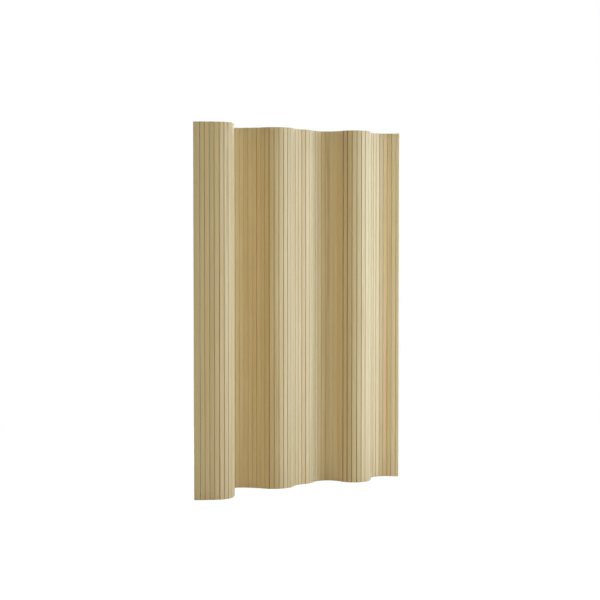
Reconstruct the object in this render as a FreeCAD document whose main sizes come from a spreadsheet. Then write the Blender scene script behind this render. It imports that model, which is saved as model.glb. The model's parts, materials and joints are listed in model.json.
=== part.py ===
import FreeCAD, Part
import Sketcher
import math
import os

# A free-standing flexible screen: upright pine slats, each with a round nose on one long edge
# that rocks in a round groove in the next slat, strung together on steel wires.
# The screen stands in a wave. Slats are counted from the left end, seen from the front (-Y).
# A turn is positive where the wave bends towards the back (+Y).

V = FreeCAD.Vector
UP = V(0, 0, 1)

# Lengths in millimetres, angles in degrees
SIZES = {
    "slat_height": 1500.0,
    "slat_pitch": 19.0,
    "slat_thickness": 12.0,
    "nose_radius": 7.0,
    "nose_flat": 8.2,
    "joint_clearance": 0.3,
    "lip_thickness": 1.1,
    "lip_bevel": 0.8,
    "end_setback": 5.0,
    "wire_diameter": 1.5,
    "wire_clearance": 0.5,
    "wire_sway": 0.25,
    "slot_wall": 0.2,
    "wire_count": 3,
    "wire_margin": 150.0,
    "wire_tail": 1.0,
    "ferrule_width": 5.0,
    "ferrule_length": 6.0,
    "ferrule_bore_gap": 0.05,
    "ferrule_recess": 3.5,
    "seat_clearance": 0.5,
    "start_heading": -30.5,
    "left_tail_turn": 2.0,
    "left_curl_turn": 15.5,
    "curl_back_turn": 12.0,
    "first_valley_turn": -16.0,
    "valley_flank_turn": -8.0,
    "first_crest_turn": 14.0,
    "shoulder_in_turn": -16.5,
    "shoulder_out_turn": 14.5,
    "second_valley_turn": -15.0,
    "second_crest_turn": 16.0,
    "end_bend_turn": -14.0,
}

# The wave from left to right. A leaf is one slat, or two or three slats that stay in one plane.
# name of the bend, its hinges, slats in a leaf between those hinges, slats in the leaf after it
FIRST_LEAF = 3
BENDS = (
    ("left_tail", 1, 1, 2),
    ("left_curl", 5, 1, 2),
    ("curl_back", 3, 2, 2),
    ("first_valley", 8, 1, 2),
    ("valley_flank", 2, 2, 2),
    ("first_crest", 7, 1, 2),
    ("shoulder_in", 3, 1, 1),
    ("shoulder_out", 3, 1, 2),
    ("second_valley", 8, 1, 1),
    ("second_crest", 9, 1, 2),
    ("end_bend", 7, 1, 3),
)

# Half width of a wire slot where the wire leaves the groove
THROAT = "dims.wire_diameter / 2 + dims.wire_clearance + dims.wire_sway"


def make_sheet(doc):
    sheet = doc.addObject("Spreadsheet::Sheet", "dims")
    for row, (alias, value) in enumerate(SIZES.items(), start=1):
        sheet.set(f"A{row}", alias)
        sheet.set(f"B{row}", str(value))
        sheet.setAlias(f"B{row}", alias)
    doc.recompute()
    return sheet


def origin_feature(body, role):
    return next(item for item in body.Origin.OriginFeatures if item.Role == role)


def add_sketch(body, name, plane, offset=None):
    sketch = body.newObject("Sketcher::SketchObject", name)
    sketch.AttachmentSupport = [(origin_feature(body, plane), "")]
    sketch.MapMode = "FlatFace"
    if offset:
        sketch.setExpression("AttachmentOffset.Base.z", offset)
    return sketch


def tie(sketch, kind, refs, value, expression):
    index = sketch.addConstraint(Sketcher.Constraint(kind, *refs, value))
    sketch.setExpression(f"Constraints[{index}]", expression)


# The same distance from the middle line for a point above it and a point below it
def tie_both_sides(sketch, above, below, value, expression):
    tie(sketch, "DistanceY", (-1, 1, *above), value, expression)
    tie(sketch, "DistanceY", (*below, -1, 1), value, expression)


def add_pocket(body, sketch, length, reverse=False):
    pocket = body.newObject("PartDesign::Pocket", sketch.Name + "_cut")
    pocket.Profile = sketch
    pocket.setExpression("Length", length)
    pocket.Reversed = reverse
    body.Tip = pocket
    return pocket


def repeat_at_wires(body, feature):
    pattern = body.newObject("PartDesign::LinearPattern", feature.Name + "_rows")
    pattern.Originals = [feature]
    pattern.Direction = (origin_feature(body, "Z_Axis"), [""])
    pattern.setExpression("Length", "dims.slat_height - 2 * dims.wire_margin")
    pattern.setExpression("Occurrences", "dims.wire_count")
    body.Tip = pattern
    return pattern


# Section of one slat. Its left hinge axis is at x = place * pitch and its right one a pitch further.
# An inner edge is a groove on the left and a nose on the right; a free edge is a set-back nose.
# Nose and groove are arcs about the hinge axis, flat where the wire comes out.
def slat_section(body, sheet, place, free_left, free_right):
    half = sheet.slat_thickness / 2
    tip = sheet.nose_flat / 2
    nose = sheet.nose_radius
    left = place * sheet.slat_pitch
    right = left + sheet.slat_pitch
    left_text = f"{place} * dims.slat_pitch"
    right_text = f"{place + 1} * dims.slat_pitch"
    if free_left:
        left = left + sheet.end_setback
        left_text = f"{left_text} + dims.end_setback"
    if free_right:
        right = right - sheet.end_setback
        right_text = f"{right_text} - dims.end_setback"
    sketch = add_sketch(body, f"section_{place + 1}", "XY_Plane")

    nose_run = math.sqrt(nose**2 - half**2)
    tip_run = math.sqrt(nose**2 - tip**2)
    face_angle = math.atan2(half, nose_run)
    tip_angle = math.atan2(tip, tip_run)
    nose_circle = Part.Circle(V(right, 0, 0), UP, nose)
    face_end = right + nose_run
    outline = [
        Part.ArcOfCircle(nose_circle, -face_angle, -tip_angle),
        Part.LineSegment(V(right + tip_run, -tip, 0), V(right + tip_run, tip, 0)),
        Part.ArcOfCircle(nose_circle, tip_angle, face_angle),
    ]
    if free_left:
        edge_circle = Part.Circle(V(left, 0, 0), UP, nose)
        face_start = left - nose_run
        outline += [
            Part.LineSegment(V(face_end, half, 0), V(face_start, half, 0)),
            Part.ArcOfCircle(edge_circle, math.pi - face_angle, math.pi - tip_angle),
            Part.LineSegment(V(left - tip_run, tip, 0), V(left - tip_run, -tip, 0)),
            Part.ArcOfCircle(edge_circle, math.pi + tip_angle, math.pi + face_angle),
            Part.LineSegment(V(face_start, -half, 0), V(face_end, -half, 0)),
        ]
        edge_arcs = (4, 6)
    else:
        groove = nose + sheet.joint_clearance
        lip = half - sheet.lip_thickness
        throat = sheet.wire_diameter / 2 + sheet.wire_clearance + sheet.wire_sway + sheet.slot_wall
        lip_x = left + math.sqrt(groove**2 - lip**2)
        floor_x = left + math.sqrt(groove**2 - throat**2)
        lip_angle = math.asin(lip / groove)
        floor_angle = math.asin(throat / groove)
        edge_circle = Part.Circle(V(left, 0, 0), UP, groove)
        face_start = lip_x + sheet.lip_bevel
        outline += [
            Part.LineSegment(V(face_end, half, 0), V(face_start, half, 0)),
            Part.LineSegment(V(face_start, half, 0), V(lip_x, lip, 0)),
            Part.ArcOfCircle(edge_circle, floor_angle, lip_angle),
            Part.LineSegment(V(floor_x, throat, 0), V(floor_x, -throat, 0)),
            Part.ArcOfCircle(edge_circle, -lip_angle, -floor_angle),
            Part.LineSegment(V(lip_x, -lip, 0), V(face_start, -half, 0)),
            Part.LineSegment(V(face_start, -half, 0), V(face_end, -half, 0)),
        ]
        edge_arcs = (5, 7)
    sketch.addGeometry(outline, False)
    upper_face = 3
    lower_face = len(outline) - 1

    # An arc runs counter-clockwise, so the loop passes a groove's arcs from end to start.
    hollow = () if free_left else edge_arcs
    for here in range(len(outline)):
        following = (here + 1) % len(outline)
        leave = 1 if here in hollow else 2
        enter = 2 if following in hollow else 1
        sketch.addConstraint(Sketcher.Constraint("Coincident", here, leave, following, enter))
    axis = -1
    upper, lower = edge_arcs
    for first, second in ((0, 2), edge_arcs):
        sketch.addConstraint(Sketcher.Constraint("Coincident", first, 3, second, 3))
        sketch.addConstraint(Sketcher.Constraint("Equal", first, second))
    for face in (upper_face, lower_face):
        sketch.addConstraint(Sketcher.Constraint("Horizontal", face))
    sketch.addConstraint(Sketcher.Constraint("PointOnObject", 0, 3, axis))
    tie(sketch, "DistanceX", (axis, 1, 0, 3), right, right_text)
    if left:
        sketch.addConstraint(Sketcher.Constraint("PointOnObject", upper, 3, axis))
        tie(sketch, "DistanceX", (axis, 1, upper, 3), left, left_text)
    else:
        sketch.addConstraint(Sketcher.Constraint("Coincident", upper, 3, axis, 1))
    tie(sketch, "Radius", (0,), nose, "dims.nose_radius")
    tie_both_sides(sketch, (upper_face, 1), (lower_face, 2), half, "dims.slat_thickness / 2")
    tie_both_sides(sketch, (2, 1), (0, 2), tip, "dims.nose_flat / 2")
    if free_left:
        tie(sketch, "Radius", (upper,), nose, "dims.nose_radius")
        tie_both_sides(sketch, (upper, 2), (lower, 1), tip, "dims.nose_flat / 2")
    else:
        tie(sketch, "Radius", (upper,), groove, "dims.nose_radius + dims.joint_clearance")
        lip_text = "dims.slat_thickness / 2 - dims.lip_thickness"
        tie_both_sides(sketch, (upper, 2), (lower, 1), lip, lip_text)
        tie_both_sides(sketch, (upper, 1), (lower, 2), throat, f"{THROAT} + dims.slot_wall")
        tie(sketch, "DistanceX", (upper, 2, upper_face, 2), sheet.lip_bevel, "dims.lip_bevel")
        tie(sketch, "DistanceX", (lower, 1, lower_face, 1), sheet.lip_bevel, "dims.lip_bevel")
    return sketch


# Level slot for a wire, from the groove to the nose. It widens towards the nose, because the wire
# bends at the hinge axis inside it.
def wire_slot(body, sheet, place, free_right):
    throat = sheet.wire_diameter / 2 + sheet.wire_clearance + sheet.wire_sway
    flare = sheet.nose_flat / 2 - sheet.slot_wall
    flare_text = "dims.nose_flat / 2 - dims.slot_wall"
    start = place * sheet.slat_pitch + sheet.nose_radius - sheet.joint_clearance
    end = (place + 1) * sheet.slat_pitch + sheet.nose_radius
    start_text = f"{place} * dims.slat_pitch + dims.nose_radius - dims.joint_clearance"
    end_text = f"{place + 1} * dims.slat_pitch + dims.nose_radius"
    if free_right:
        end = end - sheet.end_setback - sheet.ferrule_length
        end_text = f"{end_text} - dims.end_setback - dims.ferrule_length"
        flare = throat
        flare_text = THROAT
    level = "dims.wire_margin + dims.wire_diameter / 2 + dims.wire_clearance"
    sketch = add_sketch(body, f"wire_slot_{place + 1}", "XY_Plane", level)
    corners = [V(start, -throat, 0), V(end, -flare, 0), V(end, flare, 0), V(start, throat, 0)]
    for here in range(4):
        following = (here + 1) % 4
        sketch.addGeometry(Part.LineSegment(corners[here], corners[following]), False)
    for here in range(4):
        sketch.addConstraint(Sketcher.Constraint("Coincident", here, 2, (here + 1) % 4, 1))
    for side in (1, 3):
        sketch.addConstraint(Sketcher.Constraint("Vertical", side))
    axis = -1
    tie(sketch, "DistanceX", (axis, 1, 0, 1), start, start_text)
    tie(sketch, "DistanceX", (axis, 1, 0, 2), end, end_text)
    tie_both_sides(sketch, (2, 2), (0, 1), throat, THROAT)
    tie_both_sides(sketch, (2, 1), (0, 2), flare, flare_text)
    pocket = add_pocket(body, sketch, "dims.wire_diameter + 2 * dims.wire_clearance")
    repeat_at_wires(body, pocket)


# Where a ferrule's seat lies along its leaf, as a number and as an expression on the sheet
def seat_floor(sheet, slats, at_left):
    reach = sheet.nose_radius - sheet.ferrule_length - sheet.ferrule_recess
    reach_text = "(dims.nose_radius - dims.ferrule_length - dims.ferrule_recess)"
    if at_left:
        return sheet.end_setback - reach, f"dims.end_setback - {reach_text}"
    place = slats * sheet.slat_pitch - sheet.end_setback + reach
    return place, f"{slats} * dims.slat_pitch - dims.end_setback + {reach_text}"


# Round recess in the free edge of an end slat, where a ferrule bears on the wood
def ferrule_seat(body, sheet, slats, at_left):
    _, floor_text = seat_floor(sheet, slats, at_left)
    sketch = add_sketch(body, "ferrule_seat", "YZ_Plane", floor_text)
    radius = sheet.ferrule_width / math.sqrt(3) + sheet.seat_clearance
    sketch.addGeometry(Part.Circle(V(0, sheet.wire_margin, 0), UP, radius), False)
    sketch.addConstraint(Sketcher.Constraint("PointOnObject", 0, 3, -2))
    tie(sketch, "DistanceY", (-1, 1, 0, 3), sheet.wire_margin, "dims.wire_margin")
    tie(sketch, "Radius", (0,), radius, "dims.ferrule_width / sqrt(3) + dims.seat_clearance")
    depth = "dims.ferrule_length + dims.ferrule_recess + dims.nose_radius"
    pocket = add_pocket(body, sketch, depth, reverse=not at_left)
    repeat_at_wires(body, pocket)


# Hexagon about the wire's line, with two corners level with it, given by its width across flats
def hexagon(sketch, sheet, width, expression):
    middle = V(0, sheet.wire_margin, 0)
    radius = width / math.sqrt(3)
    corners = [middle + along(60.0 * side) * radius for side in range(6)]
    base = sketch.GeometryCount
    for side in range(6):
        sketch.addGeometry(Part.LineSegment(corners[side], corners[(side + 1) % 6]), False)
    ring = sketch.addGeometry(Part.Circle(middle, UP, radius), True)
    for side in range(6):
        here = base + side
        following = base + (side + 1) % 6
        sketch.addConstraint(Sketcher.Constraint("Coincident", here, 2, following, 1))
        sketch.addConstraint(Sketcher.Constraint("PointOnObject", here, 1, ring))
    for side in range(1, 6):
        sketch.addConstraint(Sketcher.Constraint("Equal", base, base + side))
    sketch.addConstraint(Sketcher.Constraint("Horizontal", base + 1))
    sketch.addConstraint(Sketcher.Constraint("PointOnObject", ring, 3, -2))
    tie(sketch, "DistanceY", (-1, 1, ring, 3), sheet.wire_margin, "dims.wire_margin")
    tie(sketch, "Radius", (ring,), radius, f"({expression}) / sqrt(3)")


def make_leaf(doc, sheet, label, slats, at_left, at_right):
    body = doc.addObject("PartDesign::Body", label)
    body.Label = label
    body.AllowCompound = True
    for place in range(slats):
        free_left = at_left and place == 0
        free_right = at_right and place == slats - 1
        section = slat_section(body, sheet, place, free_left, free_right)
        pad = body.newObject("PartDesign::Pad", f"slat_{place + 1}")
        pad.Profile = section
        pad.setExpression("Length", "dims.slat_height")
        body.Tip = pad
        doc.recompute()
        wire_slot(body, sheet, place, free_right)
    if at_left or at_right:
        ferrule_seat(body, sheet, slats, at_left)
    doc.recompute()
    return body


# Sleeves crimped to six sides on the wires' ends, seated in the end slat
def make_ferrules(doc, sheet, label, slats, at_left):
    body = doc.addObject("PartDesign::Body", label)
    body.Label = label
    body.AllowCompound = True
    _, floor_text = seat_floor(sheet, slats, at_left)
    sketch = add_sketch(body, "sleeve", "YZ_Plane", floor_text)
    hexagon(sketch, sheet, sheet.ferrule_width, "dims.ferrule_width")
    bore = sheet.wire_diameter + 2 * sheet.ferrule_bore_gap
    hexagon(sketch, sheet, bore, "dims.wire_diameter + 2 * dims.ferrule_bore_gap")
    pad = body.newObject("PartDesign::Pad", "ferrule")
    pad.Profile = sketch
    pad.setExpression("Length", "dims.ferrule_length")
    pad.Reversed = at_left
    body.Tip = pad
    doc.recompute()
    repeat_at_wires(body, pad)
    doc.recompute()
    return body


# The leaves in order: name, slat count, and the point and heading where each one starts
def lay_out(sheet):
    counts = [FIRST_LEAF]
    turns = []
    for name, hinges, between, after in BENDS:
        counts += [between] * (hinges - 1) + [after]
        turns += [sheet.get(f"{name}_turn")] * hinges
    leaves = []
    point = V(0, 0, 0)
    heading = sheet.start_heading
    first = 1
    for count, turn in zip(counts, turns + [0.0]):
        last = first + count - 1
        label = f"slat_{first:02d}" if count == 1 else f"slats_{first:02d}_{last:02d}"
        leaves.append({"label": label, "slats": count, "start": point, "heading": heading})
        point = point + along(heading) * (count * sheet.slat_pitch)
        heading = heading + turn
        first = last + 1
    return leaves


def along(heading):
    angle = math.radians(heading)
    return V(math.cos(angle), math.sin(angle), 0)


def place_leaf(leaf, body, shift):
    body.Placement = FreeCAD.Placement(leaf["start"] + shift, FreeCAD.Rotation(UP, leaf["heading"]))


# Plan of a wire: an arc through each bend, tangent to the leaves half a leaf before its first
# hinge and half a leaf after its last, with straight runs between the bends.
def wire_path(sheet, leaves, shift, level):
    floor, _ = seat_floor(sheet, FIRST_LEAF, True)
    beyond = sheet.ferrule_length + sheet.wire_tail
    lift = shift + UP * level
    here = leaves[0]["start"] + along(leaves[0]["heading"]) * (floor - beyond) + lift
    edges = []
    radii = []
    index = 0
    for name, hinges, between, _ in BENDS:
        turn = sheet.get(f"{name}_turn")
        tangent = between * sheet.slat_pitch / 2
        before = leaves[index]["heading"]
        after = leaves[index + hinges]["heading"]
        entry = leaves[index + 1]["start"] + lift - along(before) * tangent
        leave = leaves[index + hinges]["start"] + lift + along(after) * tangent
        radius = tangent / math.tan(math.radians(abs(turn) / 2))
        inward = math.copysign(90.0, turn)
        centre = entry + along(before + inward) * radius
        middle = centre - along((before + after) / 2 + inward) * radius
        if here.distanceToPoint(entry) > Part.Precision.confusion():
            edges.append(Part.LineSegment(here, entry).toShape())
        edges.append(Part.Arc(entry, middle, leave).toShape())
        radii.append(radius)
        here = leave
        index += hinges
    floor, _ = seat_floor(sheet, leaves[-1]["slats"], False)
    last = leaves[-1]
    end = last["start"] + lift + along(last["heading"]) * (floor + beyond)
    edges.append(Part.LineSegment(here, end).toShape())
    return Part.Wire(edges), radii


# The outer strands of a wire lie in a hexagon, which is carried along its path.
def make_wires(doc, sheet, leaves, shift):
    spacing = (sheet.slat_height - 2 * sheet.wire_margin) / max(sheet.wire_count - 1, 1)
    radius = sheet.wire_diameter / math.sqrt(3)
    side = along(leaves[0]["heading"] + 90.0)
    wires = []
    for row in range(int(sheet.wire_count)):
        level = sheet.wire_margin + row * spacing
        path, radii = wire_path(sheet, leaves, shift, level)
        start = path.Vertexes[0].Point
        around = [math.radians(60.0 * corner) for corner in range(7)]
        corners = [start + side * (radius * math.cos(a)) + UP * (radius * math.sin(a)) for a in around]
        section = Part.makePolygon(corners)
        wire = path.makePipeShell([section], True, False)
        share = wire.Volume / (Part.Face(section).Area * path.Length)
        print(f"wire {row + 1}: {path.Length:.1f} long, least radius {min(radii):.1f}, volume {share:.5f} of it")
        wires.append(wire)
    feature = doc.addObject("Part::Feature", "wires")
    feature.Label = "wires"
    feature.Shape = Part.makeCompound(wires)
    return feature


def check_document(doc, pieces):
    for item in doc.Objects:
        if "Invalid" in item.State or "Error" in item.State:
            raise RuntimeError(f"{item.Label} did not compute: {item.State}")
    for piece, solids in pieces:
        shape = piece.Shape
        if shape.isNull() or not shape.isValid() or len(shape.Solids) != solids:
            raise RuntimeError(f"{piece.Label} has a bad shape with {len(shape.Solids)} solids")


def main():
    doc = FreeCAD.newDocument("slatted_screen")
    sheet = make_sheet(doc)
    leaves = lay_out(sheet)
    bodies = []
    for number, leaf in enumerate(leaves):
        at_left = number == 0
        at_right = number == len(leaves) - 1
        body = make_leaf(doc, sheet, leaf["label"], leaf["slats"], at_left, at_right)
        place_leaf(leaf, body, V(0, 0, 0))
        bodies.append(body)

    # The origin is under the middle of the screen's own box.
    box = FreeCAD.BoundBox()
    for body in bodies:
        box.add(body.Shape.optimalBoundingBox(False, False))
    shift = V(-box.Center.x, -box.Center.y, 0)
    for leaf, body in zip(leaves, bodies):
        place_leaf(leaf, body, shift)

    left_ferrules = make_ferrules(doc, sheet, "left_ferrules", leaves[0]["slats"], True)
    place_leaf(leaves[0], left_ferrules, shift)
    right_ferrules = make_ferrules(doc, sheet, "right_ferrules", leaves[-1]["slats"], False)
    place_leaf(leaves[-1], right_ferrules, shift)
    wires = make_wires(doc, sheet, leaves, shift)
    doc.recompute()

    rows = int(sheet.wire_count)
    pieces = [(body, leaf["slats"]) for body, leaf in zip(bodies, leaves)]
    pieces += [(left_ferrules, rows), (right_ferrules, rows), (wires, rows)]
    check_document(doc, pieces)
    os.makedirs("parts", exist_ok=True)
    for piece, _ in pieces:
        piece.Shape.exportStep(f"parts/{piece.Label}.step")
    print(f"{sum(leaf['slats'] for leaf in leaves)} slats in {len(leaves)} leaves")
    print(f"box {box.XLength:.1f} x {box.YLength:.1f} x {box.ZLength:.1f}")


main()
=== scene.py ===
import json
import math
import bpy
import numpy as np
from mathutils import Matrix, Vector

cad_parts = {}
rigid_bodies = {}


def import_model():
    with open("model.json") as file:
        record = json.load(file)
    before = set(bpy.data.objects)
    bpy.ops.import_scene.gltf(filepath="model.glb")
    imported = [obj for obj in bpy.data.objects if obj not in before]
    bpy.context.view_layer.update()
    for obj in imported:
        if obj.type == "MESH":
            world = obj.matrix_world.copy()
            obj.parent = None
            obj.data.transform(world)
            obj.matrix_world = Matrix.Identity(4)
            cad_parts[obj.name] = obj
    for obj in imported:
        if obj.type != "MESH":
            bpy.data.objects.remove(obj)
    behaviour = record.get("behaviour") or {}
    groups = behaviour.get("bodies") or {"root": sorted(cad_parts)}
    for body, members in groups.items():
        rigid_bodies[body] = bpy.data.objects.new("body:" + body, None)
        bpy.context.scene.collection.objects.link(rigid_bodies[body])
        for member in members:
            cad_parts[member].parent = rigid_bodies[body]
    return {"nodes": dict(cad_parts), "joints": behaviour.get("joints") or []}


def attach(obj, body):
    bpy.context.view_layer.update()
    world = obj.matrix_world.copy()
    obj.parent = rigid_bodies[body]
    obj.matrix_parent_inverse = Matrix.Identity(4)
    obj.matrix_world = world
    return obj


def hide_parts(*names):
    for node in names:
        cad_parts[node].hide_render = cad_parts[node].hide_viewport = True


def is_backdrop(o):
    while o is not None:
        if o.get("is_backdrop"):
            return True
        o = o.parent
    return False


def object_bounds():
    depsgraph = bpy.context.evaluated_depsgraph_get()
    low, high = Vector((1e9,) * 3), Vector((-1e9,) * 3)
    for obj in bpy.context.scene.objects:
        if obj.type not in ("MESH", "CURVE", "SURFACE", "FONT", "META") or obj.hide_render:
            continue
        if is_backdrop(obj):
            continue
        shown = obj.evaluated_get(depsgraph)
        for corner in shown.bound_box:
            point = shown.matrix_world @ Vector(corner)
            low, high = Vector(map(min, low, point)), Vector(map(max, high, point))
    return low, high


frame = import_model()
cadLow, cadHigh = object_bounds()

mm = 0.001
creaseAngle = 35  # degrees; a sharper edge keeps its crease
rng = np.random.default_rng(72)
scene = bpy.context.scene


def addObject(name, data):
    thing = bpy.data.objects.new(name, data)
    scene.collection.objects.link(thing)
    return thing


# faces between neighbouring rings of points, each ring closed on itself; closed also joins the last ring
# to the first
def ringFaces(rings, count, skip=(), closed=False):
    step = np.arange(count)
    ahead = (step + 1) % count
    lower = (np.arange(rings if closed else rings - 1) * count)[:, None]
    upper = (lower + count) % (rings * count)
    quads = np.stack([lower + step, lower + ahead, upper + ahead, upper + step], 2)
    keep = np.ones(quads.shape[:2], bool)
    for row, column in skip:
        keep[row, column] = False
    return quads[keep].tolist()


# several surfaces as one mesh: each is (points in metres, faces, values of named attributes)
def addPiece(name, surfaces, material, body, stoodFor):
    faces = []
    base = 0
    for points, own, _ in surfaces:
        faces += [[index + base for index in face] for face in own]
        base += len(points)
    mesh = bpy.data.meshes.new(name)
    mesh.from_pydata(np.concatenate([points for points, _, _ in surfaces]).tolist(), [], faces)
    for key in surfaces[0][2]:
        values = np.concatenate([named[key] for _, _, named in surfaces]).astype(np.float32)
        if values.ndim == 2:
            mesh.attributes.new(key, "FLOAT_VECTOR", "POINT").data.foreach_set("vector", values.ravel())
        else:
            mesh.attributes.new(key, "FLOAT", "POINT").data.foreach_set("value", values)
    mesh.polygons.foreach_set("use_smooth", np.ones(len(mesh.polygons), bool))
    mesh.set_sharp_from_angle(angle=math.radians(creaseAngle))
    mesh.materials.append(material)
    piece = addObject(name, mesh)
    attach(piece, body)
    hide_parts(stoodFor)


# the leaves of the screen, read from the hinges
def slatRange(label):
    numbers = [int(part) for part in label.split("_")[1:]]
    return numbers[0], numbers[-1]


def planOf(node):
    points = np.empty(len(frame["nodes"][node].data.vertices) * 3, np.float32)
    frame["nodes"][node].data.vertices.foreach_get("co", points)
    return points.reshape(-1, 3)[:, :2].astype(float)


pitch = 19.0  # millimetres, as are the lengths in the pieces' dictionaries
height = (cadHigh.z - cadLow.z) / mm
wireMargin = 150.0
cornerSlack = 0.05  # the two corners of a free edge are equally far off within this
wireLevels = (wireMargin, height / 2, height - wireMargin)
labels = sorted((n for n in frame["nodes"] if n.startswith("slat")), key=slatRange)
hinges = {}
for joint in frame["joints"]:
    right = max(joint["parent"], joint["child"], key=slatRange)
    hinges[right] = np.array(joint["pos_m"][:2])


# middle of the flat on an end leaf's free edge, whose two corners are farthest from the hinge
def freeEdge(node, hinge):
    plan = planOf(node)
    reach = np.linalg.norm(plan - hinge, axis=1)
    corners = plan[reach > reach.max() - cornerSlack * mm]
    return np.unique(corners.round(6), axis=0).mean(0)


# a leaf's direction runs from its own hinge to the next one, or to or from its free edge
leaves = []
for label, following in zip(labels, labels[1:] + [None]):
    first, last = slatRange(label)
    length = (last - first + 1) * pitch
    if label not in hinges:
        along = hinges[following] - freeEdge(label, hinges[following])
    elif following is None:
        along = freeEdge(label, hinges[label]) - hinges[label]
    else:
        along = hinges[following] - hinges[label]
    along = along / np.linalg.norm(along)
    start = hinges[label] if label in hinges else hinges[following] - along * length * mm
    leaves.append({"label": label, "first": first, "last": last, "length": length,
                   "start": start, "along": along})
lastSlat = leaves[-1]["last"]
print(len(leaves), "leaves,", lastSlat, "slats")


# millimetres along the leaf, across it and up, as metres in the row frame
def fromLeaf(leaf, local):
    along = leaf["along"]
    across = np.array([-along[1], along[0]])
    placed = np.empty_like(local)
    placed[:, :2] = leaf["start"] + (local[:, :1] * along + local[:, 1:2] * across) * mm
    placed[:, 2] = local[:, 2] * mm
    return placed


# materials
def newMaterial(name):
    material = bpy.data.materials.new(name)
    material.use_nodes = True
    material.node_tree.nodes.clear()
    return material


def put(tree, kind, inputs=None, **settings):
    node = tree.nodes.new(kind)
    for key, value in settings.items():
        setattr(node, key, value)
    for key, value in (inputs or {}).items():
        if isinstance(value, bpy.types.NodeSocket):
            tree.links.new(value, node.inputs[key])
        else:
            node.inputs[key].default_value = value
    return node


def calc(tree, operation, a, b=0.0, c=0.0):
    return put(tree, "ShaderNodeMath", {0: a, 1: b, 2: c}, operation=operation).outputs[0]


def stretch(tree, vector, factors):
    return put(tree, "ShaderNodeVectorMath", {0: vector, 1: factors}, operation="MULTIPLY").outputs[0]


noiseSpan = 0.3, 0.7  # nearly all of a noise lies between these


# noise with so many lumps a metre along x, y and z
def noise(tree, vector, lumps, detail):
    sockets = {"Vector": stretch(tree, vector, lumps), "Scale": 1.0, "Detail": detail}
    return put(tree, "ShaderNodeTexNoise", sockets).outputs[0]


def remap(tree, value, fromLow, fromHigh, toLow, toHigh):
    sockets = {0: value, 1: fromLow, 2: fromHigh, 3: toLow, 4: toHigh}
    return put(tree, "ShaderNodeMapRange", sockets).outputs[0]


def tint(tree, share, color, factor):
    sockets = {0: share, 6: color, 7: factor}
    return put(tree, "ShaderNodeMix", sockets, data_type="RGBA", blend_type="MULTIPLY").outputs[2]


def ramp(tree, value, stops):
    node = put(tree, "ShaderNodeValToRGB", {0: value})
    elements = node.color_ramp.elements
    while len(elements) < len(stops):
        elements.new(0.5)
    for element, (place, color) in zip(elements, stops):
        element.position = place
        element.color = (*color, 1)
    return node.outputs[0]


finish = {"bump": 0.6, "sheen": 0.2}  # strengths; the bare wood is dull, and metal doesn't heed the second


def closeMaterial(tree, color, roughness, relief, depth, metallic):
    bump = put(tree, "ShaderNodeBump", {"Height": relief, "Distance": depth, "Strength": finish["bump"]})
    shader = put(tree, "ShaderNodeBsdfPrincipled", {
        "Base Color": color, "Roughness": roughness, "Metallic": metallic,
        "Specular IOR Level": finish["sheen"], "Normal": bump.outputs[0]})
    put(tree, "ShaderNodeOutputMaterial", {"Surface": shader.outputs[0]})


clear = (1, 1, 1)

# pine: rings about a pith line outside each slat, fibre streaks along it, and a tone of its own per slat
pineLook = {"ring": 0.0031, "waver": 0.009, "pithSpan": 0.12, "pithNear": 0.012, "pithFar": 0.062,  # metres
            "nextSlat": 1.7, "relief": 0.00012,  # these too
            "ringRelief": 0.4, "roughness": (0.42, 0.62),
            "drift": ((14, 14, 1.1), 3.0), "fibre": ((1500, 1500, 16), 4.0),  # lumps a metre, detail
            "cloud": ((60, 60, 2.2), 2.0),
            "growth": [(0.0, 0.0), (0.55, 0.16), (0.86, 1.0), (0.95, 0.0)],  # late wood over one ring
            "tones": [(0.60, 0.458, 0.255), (0.67, 0.531, 0.298), (0.71, 0.535, 0.306),
                      (0.74, 0.576, 0.328), (0.69, 0.499, 0.259), (0.68, 0.535, 0.294)],
            # the middle colour on the next line is painted shade, laid into the joint grooves
            "lateWood": (0.78, 0.68, 0.52, 1), "paintedGrooveShade": (0.34, 0.28, 0.22, 1), "sawn": (0.80, 0.72, 0.62, 1),
            "fibreTint": [(0.3, (0.86, 0.83, 0.78)), (0.62, clear)],
            "cloudTint": [(0.3, (0.90, 0.87, 0.80)), (0.7, clear)],
            "lateShare": 0.7, "fibreShare": 0.6, "cloudShare": 0.8, "sawnFrom": 0.7,
            # the tones differ at random from slat to slat, but this number was chosen so that they also paint
            # in part of the light and shade on single slats
            "draw": 1988}  # another number deals the slats other tones


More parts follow.
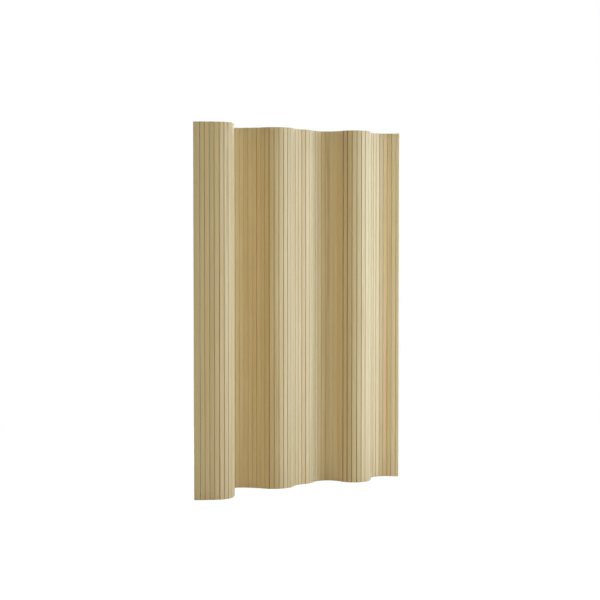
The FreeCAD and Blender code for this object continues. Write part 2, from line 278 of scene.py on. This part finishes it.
def makePine():
    look = pineLook
    material = newMaterial("pine")
    tree = material.node_tree
    place = put(tree, "ShaderNodeAttribute", attribute_name="grainPos").outputs["Vector"]
    seed = put(tree, "ShaderNodeAttribute", attribute_name="slatSeed").outputs["Fac"]
    paintedGrooveShade = put(tree, "ShaderNodeAttribute", attribute_name="paintedGrooveShade").outputs["Fac"]
    draw = calc(tree, "ADD", seed, look["draw"])
    chance = put(tree, "ShaderNodeTexWhiteNoise", {"W": draw}, noise_dimensions="1D").outputs["Color"]
    tone, side, depth = put(tree, "ShaderNodeSeparateColor", {0: chance}).outputs

    # each slat is cut from its own place in the log
    pith = put(tree, "ShaderNodeCombineXYZ", {
        0: calc(tree, "MULTIPLY_ADD", side, look["pithSpan"], -look["pithSpan"] / 2),
        1: calc(tree, "MULTIPLY_ADD", depth, look["pithFar"] - look["pithNear"], look["pithNear"]),
        2: calc(tree, "MULTIPLY", seed, look["nextSlat"])}).outputs[0]
    solid = put(tree, "ShaderNodeVectorMath", {0: place, 1: pith}, operation="ADD").outputs[0]
    flat = stretch(tree, solid, (1, 1, 0))
    radius = put(tree, "ShaderNodeVectorMath", {0: flat}, operation="LENGTH").outputs["Value"]
    drift = noise(tree, solid, *look["drift"])
    wavy = calc(tree, "MULTIPLY_ADD", drift, look["waver"], radius)
    ring = calc(tree, "FRACT", calc(tree, "DIVIDE", wavy, look["ring"]))
    late = ramp(tree, ring, [(share, (grey, grey, grey)) for share, grey in look["growth"]])
    fibre = noise(tree, solid, *look["fibre"])
    cloud = noise(tree, solid, *look["cloud"])

    places = np.linspace(0, 1, len(look["tones"])).tolist()
    color = ramp(tree, tone, list(zip(places, look["tones"])))
    color = tint(tree, calc(tree, "MULTIPLY", late, look["lateShare"]), color, look["lateWood"])
    color = tint(tree, look["fibreShare"], color, ramp(tree, fibre, look["fibreTint"]))
    color = tint(tree, look["cloudShare"], color, ramp(tree, cloud, look["cloudTint"]))
    # painted shade: the joint grooves are darkened where shade falls in them; the sawn ends are a little
    # darker than the faces
    color = tint(tree, paintedGrooveShade, color, look["paintedGrooveShade"])
    normal = put(tree, "ShaderNodeNewGeometry").outputs["Normal"]
    upward = calc(tree, "ABSOLUTE", put(tree, "ShaderNodeSeparateXYZ", {0: normal}).outputs[2])
    color = tint(tree, remap(tree, upward, look["sawnFrom"], 1.0, 0.0, 1.0), color, look["sawn"])
    roughness = remap(tree, fibre, *noiseSpan, *look["roughness"])
    relief = calc(tree, "MULTIPLY_ADD", late, look["ringRelief"], fibre)
    closeMaterial(tree, color, roughness, relief, look["relief"], 0.0)
    return material


# steel: galvanised, mottled and lightly scratched
steelLook = {"mottle": ((900, 900, 900), 3.0), "scratch": ((300, 300, 6000), 2.0),  # lumps a metre, detail
             "tones": [(0.42, 0.42, 0.43), (0.62, 0.62, 0.63)], "roughness": (0.25, 0.5), "relief": 0.00003}


def makeSteel():
    look = steelLook
    material = newMaterial("steel")
    tree = material.node_tree
    place = put(tree, "ShaderNodeTexCoord").outputs["Object"]
    mottle = noise(tree, place, *look["mottle"])
    scratch = noise(tree, place, *look["scratch"])
    color = ramp(tree, mottle, list(zip(noiseSpan, look["tones"])))
    roughness = remap(tree, scratch, *noiseSpan, *look["roughness"])
    closeMaterial(tree, color, roughness, scratch, look["relief"], 1.0)
    return material


pine = makePine()
steel = makeSteel()
for name, node in frame["nodes"].items():
    node.data.materials.clear()
    node.data.materials.append(pine if name.startswith("slat") else steel)
print("materials made")


# slats
slat = {"nose": 7.0, "tip": 4.1, "half": 6.0, "clearance": 0.3, "lip": 4.9, "bevel": 0.8, "throat": 1.7,
        "setback": 5.0, "ease": 0.6, "lipEase": 0.3, "grooveEase": 0.15, "tipEase": 0.2,
        # the first two entries below set where the painted shade of a joint groove begins, as a distance from
        # the slat's middle plane, and how far it takes to reach full strength
        "endEase": 0.6, "shorter": 0.5, "grooveShadeFrom": 5.9, "grooveShadeFade": 1.0, "halfway": 11.4,
        "noseSteps": 4, "grooveSteps": 7, "easeSteps": 5, "endSteps": 4}
seat = {"radius": 3.38, "floor": 8.17, "ease": 0.35, "easeMiddle": 0.105, "around": 40}
slot = {"half": 1.25, "leastFlat": 3.0, "slack": 1e-6}


# points of an arc: centre plus the radius times the cosine and sine of evenly spaced angles
def arc(centre, radius, low, high, count):
    angles = np.linspace(low, high, count)
    return np.stack([centre + radius * np.cos(angles), radius * np.sin(angles)], 1)


# each corner with a cut becomes a quadratic curve that leaves both sides at that distance from it
def easedLoop(points, cuts):
    before = np.roll(points, 1, 0) - points
    after = np.roll(points, -1, 0) - points
    before = before / np.linalg.norm(before, axis=1)[:, None]
    after = after / np.linalg.norm(after, axis=1)[:, None]
    t = np.linspace(0, 1, slat["easeSteps"])[:, None]
    loop = []
    for corner, back, ahead, cut in zip(points, before, after, cuts):
        curve = corner + (1 - t) ** 2 * back * cut + t**2 * ahead * cut
        loop.append(curve if cut else corner[None])
    return np.concatenate(loop)


# outline of one slat, counter-clockwise, measured from its left hinge axis
def slatOutline(freeLeft, freeRight):
    s = slat
    face = math.asin(s["half"] / s["nose"])
    tip = math.asin(s["tip"] / s["nose"])
    right = pitch - s["setback"] if freeRight else pitch
    steps = s["noseSteps"]
    runs = [arc(right, s["nose"], -face, -tip, steps), arc(right, s["nose"], tip, face, steps)]
    uncut = [0] * (steps - 2)
    cuts = [s["ease"], *uncut, s["tipEase"], s["tipEase"], *uncut, s["ease"]]
    if freeLeft:
        runs.append(arc(s["setback"], s["nose"], math.pi - face, math.pi - tip, steps))
        runs.append(arc(s["setback"], s["nose"], math.pi + tip, math.pi + face, steps))
        cuts = cuts + cuts
    else:
        groove = s["nose"] + s["clearance"]
        lip = math.asin(s["lip"] / groove)
        floor = math.asin(s["throat"] / groove)
        faceStart = groove * math.cos(lip) + s["bevel"]
        steps = s["grooveSteps"]
        runs.append(np.array([[faceStart, s["half"]]]))
        runs.append(arc(0, groove, lip, floor, steps))
        runs.append(arc(0, groove, -floor, -lip, steps))
        runs.append(np.array([[faceStart, -s["half"]]]))
        uncut = [0] * (2 * steps - 2)
        cuts = cuts + [s["lipEase"], s["grooveEase"], *uncut, s["grooveEase"], s["lipEase"]]
    return easedLoop(np.concatenate(runs), cuts)


# round seat in the flat of a free edge, from its eased mouth down the wall: circles of given radius and depth
def seatRings(flatX, outward, level):
    angle = np.linspace(0, 2 * math.pi, seat["around"], endpoint=False) + math.pi / 4
    circle = np.stack([np.cos(angle), np.sin(angle)], 1)
    radius, ease, middle, floor = seat["radius"], seat["ease"], seat["easeMiddle"], seat["floor"]
    profile = [(radius + ease, 0), (radius + middle, middle), (radius, ease), (radius, floor)]
    corner = np.array([[1, 1], [-1, 1], [-1, -1], [1, -1]]) * [slat["throat"], slot["half"]]
    loops = [(circle * size, depth) for size, depth in profile] + [(corner, floor)]
    rings = [np.column_stack([np.full(len(loop), flatX - outward * depth), loop]) for loop, depth in loops]
    return np.concatenate(rings) + [0, 0, level]


# faces of a seat: the flat between the edge's corners and the mouth, the wall, and the floor up to the slot
def seatFaces(base, border, outward):
    around = seat["around"]
    quarter = around // 4
    wallEnd = base + 3 * around
    corner = wallEnd + around
    faces = [[base + index for index in face] for face in ringFaces(4, around)]
    for side in range(4):
        arcSteps = (np.arange(quarter + 1) + side * quarter) % around
        faces.append(border[side] + (base + arcSteps[::-1]).tolist())
        faces.append((wallEnd + arcSteps).tolist() + [corner + (side + 1) % 4, corner + side])
    return [face[::-1] for face in faces] if outward < 0 else faces


# a slat is its outline carried up the height, shrunk towards its middle over a quarter circle at both ends;
# at each wire a slot with four straight walls runs through it from edge to edge
def slatSurface(leaf, number):
    freeLeft, freeRight = number == 1, number == lastSlat
    outline = slatOutline(freeLeft, freeRight)
    count = len(outline)
    centre = (outline.max(0) + outline.min(0)) / 2
    extent = (outline.max(0) - outline.min(0)) / 2
    turn = np.linspace(0, math.pi / 2, slat["endSteps"])
    edgeUp = slat["endEase"] * (1 - np.cos(turn))
    edgeIn = slat["endEase"] * (1 - np.sin(turn))
    top = height - rng.uniform(0, slat["shorter"])
    patch = slat["tip"] - slat["tipEase"]
    reaches = (-slot["half"], slot["half"])
    if freeLeft or freeRight:
        reaches = (-patch, *reaches, patch)
    middle = [level + reach for level in wireLevels for reach in reaches]
    levels = np.concatenate([edgeUp, middle, top - edgeUp[::-1]])
    insets = np.concatenate([edgeIn, np.zeros(len(middle)), edgeIn[::-1]])
    rings = centre + (outline - centre)[None] * (1 - insets[:, None, None] / extent)
    ups = np.broadcast_to(levels[:, None, None], (len(levels), count, 1))
    points = [np.concatenate([rings, ups], 2).reshape(-1, 3)]

    # the flat strips of the two edges, where the slots come out
    step = np.roll(outline, -1, 0) - outline
    flats = (np.abs(step[:, 0]) < slot["slack"]) & (np.abs(step[:, 1]) > slot["leastFlat"])
    rightFlat = int(np.flatnonzero(flats & (step[:, 1] > 0))[0])
    leftFlat = int(np.flatnonzero(flats & (step[:, 1] < 0))[0])
    skip, faces = [], []
    for order, level in enumerate(wireLevels):
        firstRow = len(edgeUp) + order * len(reaches)
        low = firstRow + len(reaches) // 2 - 1
        mouths = {}
        for outward, column in ((-1, leftFlat), (1, rightFlat)):
            lower, upper = low * count + column, (low + 1) * count + column
            mouths[outward] = [lower, lower + 1, upper + 1, upper]
            if not (freeLeft if outward < 0 else freeRight):
                skip.append((low, column))
                continue
            rows = [(firstRow + row) * count + column for row in range(4)]
            back = [row + 1 if outward < 0 else row for row in rows]
            front = [row if outward < 0 else row + 1 for row in rows]
            border = [[front[3], back[3]], back[::-1], [back[0], front[0]], front]
            skip += [(firstRow + row, column) for row in range(3)]
            base = sum(len(part) for part in points)
            points.append(seatRings(outline[column, 0], outward, level))
            faces += seatFaces(base, border, outward)
            corner = base + 4 * seat["around"]
            mouths[outward] = [corner + index for index in ((3, 2, 1, 0) if outward < 0 else (2, 3, 0, 1))]
        (l0, l1, l2, l3), (r0, r1, r2, r3) = mouths[-1], mouths[1]
        faces += [[l1, r0, r1, l0], [l3, r2, r3, l2], [l1, l2, r3, r0], [l0, r1, r2, l3]]
    faces += ringFaces(len(levels), count, skip)
    last = (len(levels) - 1) * count
    faces += [list(range(count))[::-1], list(range(last, last + count))]

    points = np.concatenate(points)
    # painted shade in the joint grooves: full deep in a groove, fading out towards its lips, and none on the
    # free edges or the slat ends
    below = np.clip((slat["grooveShadeFrom"] - np.abs(points[:, 1])) / slat["grooveShadeFade"], 0, 1)
    # points past halfway are at the right joint, the others at the left one
    inJoint = np.where(points[:, 0] > slat["halfway"], not freeRight, not freeLeft)
    inside = (points[:, 2] > 0) & (points[:, 2] < top)
    named = {"grainPos": (points - [pitch / 2, 0, 0]) * mm,
             "slatSeed": np.full(len(points), float(number)),
             "paintedGrooveShade": below * inJoint * inside}
    shift = [(number - leaf["first"]) * pitch, 0, 0]
    return fromLeaf(leaf, points + shift), faces, named


for leaf in leaves:
    numbers = range(leaf["first"], leaf["last"] + 1)
    surfaces = [slatSurface(leaf, number) for number in numbers]
    addPiece(leaf["label"] + "_wood", surfaces, pine, leaf["label"], leaf["label"])
print("slats made")


# wires: a circle carried straight from hinge to hinge, so that each leaf takes its own run along; the
# runs stop just short of the hinge axis, where the neighbour turns
wire = {"radius": 0.75, "around": 12, "end": 0.5, "hingeGap": 0.15}


def wireSurface(low, high, level):
    angle = np.linspace(0, 2 * math.pi, wire["around"], endpoint=False)
    circle = wire["radius"] * np.stack([np.cos(angle), np.sin(angle)], 1)
    points = np.concatenate([np.column_stack([np.full(len(angle), run), circle]) for run in (low, high)])
    points[:, 2] += level
    corners = list(range(len(points)))
    faces = ringFaces(2, len(angle)) + [corners[: len(angle)][::-1], corners[len(angle) :]]
    return points, faces


for leaf in leaves:
    low = wire["end"] if leaf["first"] == 1 else wire["hingeGap"]
    high = leaf["length"] - wire["end" if leaf["last"] == lastSlat else "hingeGap"]
    surfaces = []
    for level in wireLevels:
        points, faces = wireSurface(low, high, level)
        surfaces.append((fromLeaf(leaf, points), faces, {}))
    addPiece(leaf["label"] + "_wires", surfaces, steel, leaf["label"], "wires")
print("wires made")


# ferrules: a round sleeve pressed to six sides along its middle
ferrule = {"apothem": 2.45, "corner": 2.72, "round": 2.6, "length": 6.0, "inset": 1.5, "fade": 1.1,
           "edge": 0.3, "bore": 0.78, "around": 48, "steps": 15}


# distance to a hexagon's side in each direction, faded into a circle towards both ends
def ferruleSurface(low, level):
    f = ferrule
    angle = np.linspace(0, 2 * math.pi, f["around"], endpoint=False)
    sector = np.mod(angle, math.pi / 3) - math.pi / 6
    hexagon = np.minimum(f["apothem"] / np.cos(sector), f["corner"])
    sleeve = np.linspace(f["edge"], f["length"] - f["edge"], f["steps"])
    run = np.concatenate([[0], sleeve, [f["length"]]])
    near = np.minimum(run, f["length"] - run)
    fade = np.clip((near - f["edge"]) / f["fade"], 0, 1)
    fade = fade**2 * (3 - 2 * fade)
    outer = f["round"] * (1 - fade[:, None]) + hexagon[None] * fade[:, None]
    outer[[0, -1]] -= f["edge"]
    bore = np.full((1, len(angle)), f["bore"])
    radius = np.concatenate([bore, outer, bore])
    run = np.concatenate([[0], run, [f["length"]]])[:, None]
    points = np.stack([low + run + 0 * radius, radius * np.cos(angle), level + radius * np.sin(angle)], 2)
    return points.reshape(-1, 3), ringFaces(len(run), len(angle), closed=True)


lowLeft = ferrule["inset"]
lowRight = leaves[-1]["length"] - ferrule["inset"] - ferrule["length"]
for leaf, low, name in ((leaves[0], lowLeft, "left_ferrules"), (leaves[-1], lowRight, "right_ferrules")):
    surfaces = []
    for level in wireLevels:
        points, faces = ferruleSurface(low, level)
        surfaces.append((fromLeaf(leaf, points), faces, {}))
    addPiece(name + "_crimped", surfaces, steel, leaf["label"], name)
print("ferrules made")


# floor and studio
cool, warm, plain = (0.52, 0.69, 1.0), (1.0, 0.98, 0.64), (1.0, 1.0, 1.0)
studio = {"size": 40.0, "floor": (0.8, 0.79, 0.77, 1), "glow": 1.26, "glowShare": 0.7, "glowFrom": 0.8,
          "whiteFrom": 2.4, "white": 1.0, "fill": (0.55, 0.73, 1.0, 1), "fillPower": 0.22}


# rays that show the white background: those from the camera, a reflection or through glass
def shownRays(tree):
    rays = put(tree, "ShaderNodeLightPath").outputs
    mirrored = calc(tree, "MAXIMUM", rays["Is Glossy Ray"], rays["Is Transmission Ray"])
    return calc(tree, "MAXIMUM", rays["Is Camera Ray"], mirrored)


corners = np.array([(-1, -1, 0), (1, -1, 0), (1, 1, 0), (-1, 1, 0)]) * studio["size"]
floorMesh = bpy.data.meshes.new("floor")
floorMesh.from_pydata(corners.tolist(), [], [(0, 1, 2, 3)])
floorMaterial = newMaterial("floor")
tree = floorMaterial.node_tree
matte = put(tree, "ShaderNodeBsdfDiffuse", {"Color": studio["floor"]}).outputs[0]
# round the screen the floor keeps a part of its own shading and the shadow, further out it is all white
spot = put(tree, "ShaderNodeTexCoord").outputs["Object"]
away = put(tree, "ShaderNodeVectorMath", {0: spot}, operation="LENGTH").outputs["Value"]
reach = studio["glowFrom"], studio["whiteFrom"]
glow = put(tree, "ShaderNodeEmission", {
    "Strength": remap(tree, away, *reach, studio["glow"], studio["white"])}).outputs[0]
share = calc(tree, "MULTIPLY", shownRays(tree), remap(tree, away, *reach, studio["glowShare"], 1.0))
surface = put(tree, "ShaderNodeMixShader", {0: share, 1: matte, 2: glow})
put(tree, "ShaderNodeOutputMaterial", {"Surface": surface.outputs[0]})
floorMesh.materials.append(floorMaterial)
addObject("floor", floorMesh)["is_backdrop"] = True

world = bpy.data.worlds.new("studio")
scene.world = world
world.use_nodes = True
tree = world.node_tree
tree.nodes.clear()
fill = put(tree, "ShaderNodeBackground", {"Color": studio["fill"], "Strength": studio["fillPower"]})
white = put(tree, "ShaderNodeBackground", {"Color": (1, 1, 1, 1), "Strength": studio["white"]})
sky = put(tree, "ShaderNodeMixShader", {0: shownRays(tree), 1: fill.outputs[0], 2: white.outputs[0]})
put(tree, "ShaderNodeOutputWorld", {"Surface": sky.outputs[0]})

# the camera stands left of the screen's middle and looks down a little from about breast height
shot = {"fromLeft": (-2.8162, -4.8361), "height": 1.0017, "heading": 55.479, "tilt": -2.109,
        "lens": 84.68, "sensor": 36}
camera = addObject("camera", bpy.data.cameras.new("camera"))
heading, tilt = math.radians(shot["heading"]), math.radians(shot["tilt"])
forward = Vector((math.cos(heading), math.sin(heading), 0))
toRight = Vector((math.sin(heading), -math.cos(heading), 0))
camera.location = Vector((*(leaves[0]["start"] + shot["fromLeft"]), shot["height"]))
camera.rotation_mode = "QUATERNION"
camera.rotation_quaternion = (forward + Vector((0, 0, math.tan(tilt)))).to_track_quat("-Z", "Y")
camera.data.sensor_width = shot["sensor"]
camera.data.lens = shot["lens"]
scene.camera = camera


# soft lamps aimed at the middle of the screen: a cool one from the right, a warm one from the front, two
# behind it and one far above; each has its swing and lift in degrees, swing from the camera towards its
# right, its distance, width and height in metres, its watts and its colour
lamps = {"key": (80, 8, 2.4, 1.2, 2.4, 74, cool),
         "front": (10, 10, 3.6, 1.6, 2.8, 38, warm),
         "backRight": (150, 10, 3.6, 1.6, 2.8, 65, plain),
         "backLeft": (235, 10, 3.6, 1.6, 2.8, 65, plain),
         "top": (0, 90, 9.0, 4.0, 4.0, 300, plain)}


def addLamp(name, swing, lift, distance, width, tall, power, color):
    lamp = addObject(name, bpy.data.lights.new(name, "AREA"))
    swing, lift = math.radians(swing), math.radians(lift)
    level = toRight * math.sin(swing) - forward * math.cos(swing)
    aim = level * math.cos(lift) + Vector((0, 0, math.sin(lift)))
    lamp.location = Vector((0, 0, height * mm / 2)) + aim * distance
    lamp.rotation_mode = "QUATERNION"
    lamp.rotation_quaternion = (-aim).to_track_quat("-Z", "Y")
    lamp.data.shape = "RECTANGLE"
    lamp.data.size, lamp.data.size_y = width, tall
    lamp.data.energy = power
    lamp.data.color = color


for name, settings in lamps.items():
    addLamp(name, *settings)
scene.view_settings.view_transform = "Standard"
print("stage made")

low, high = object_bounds()
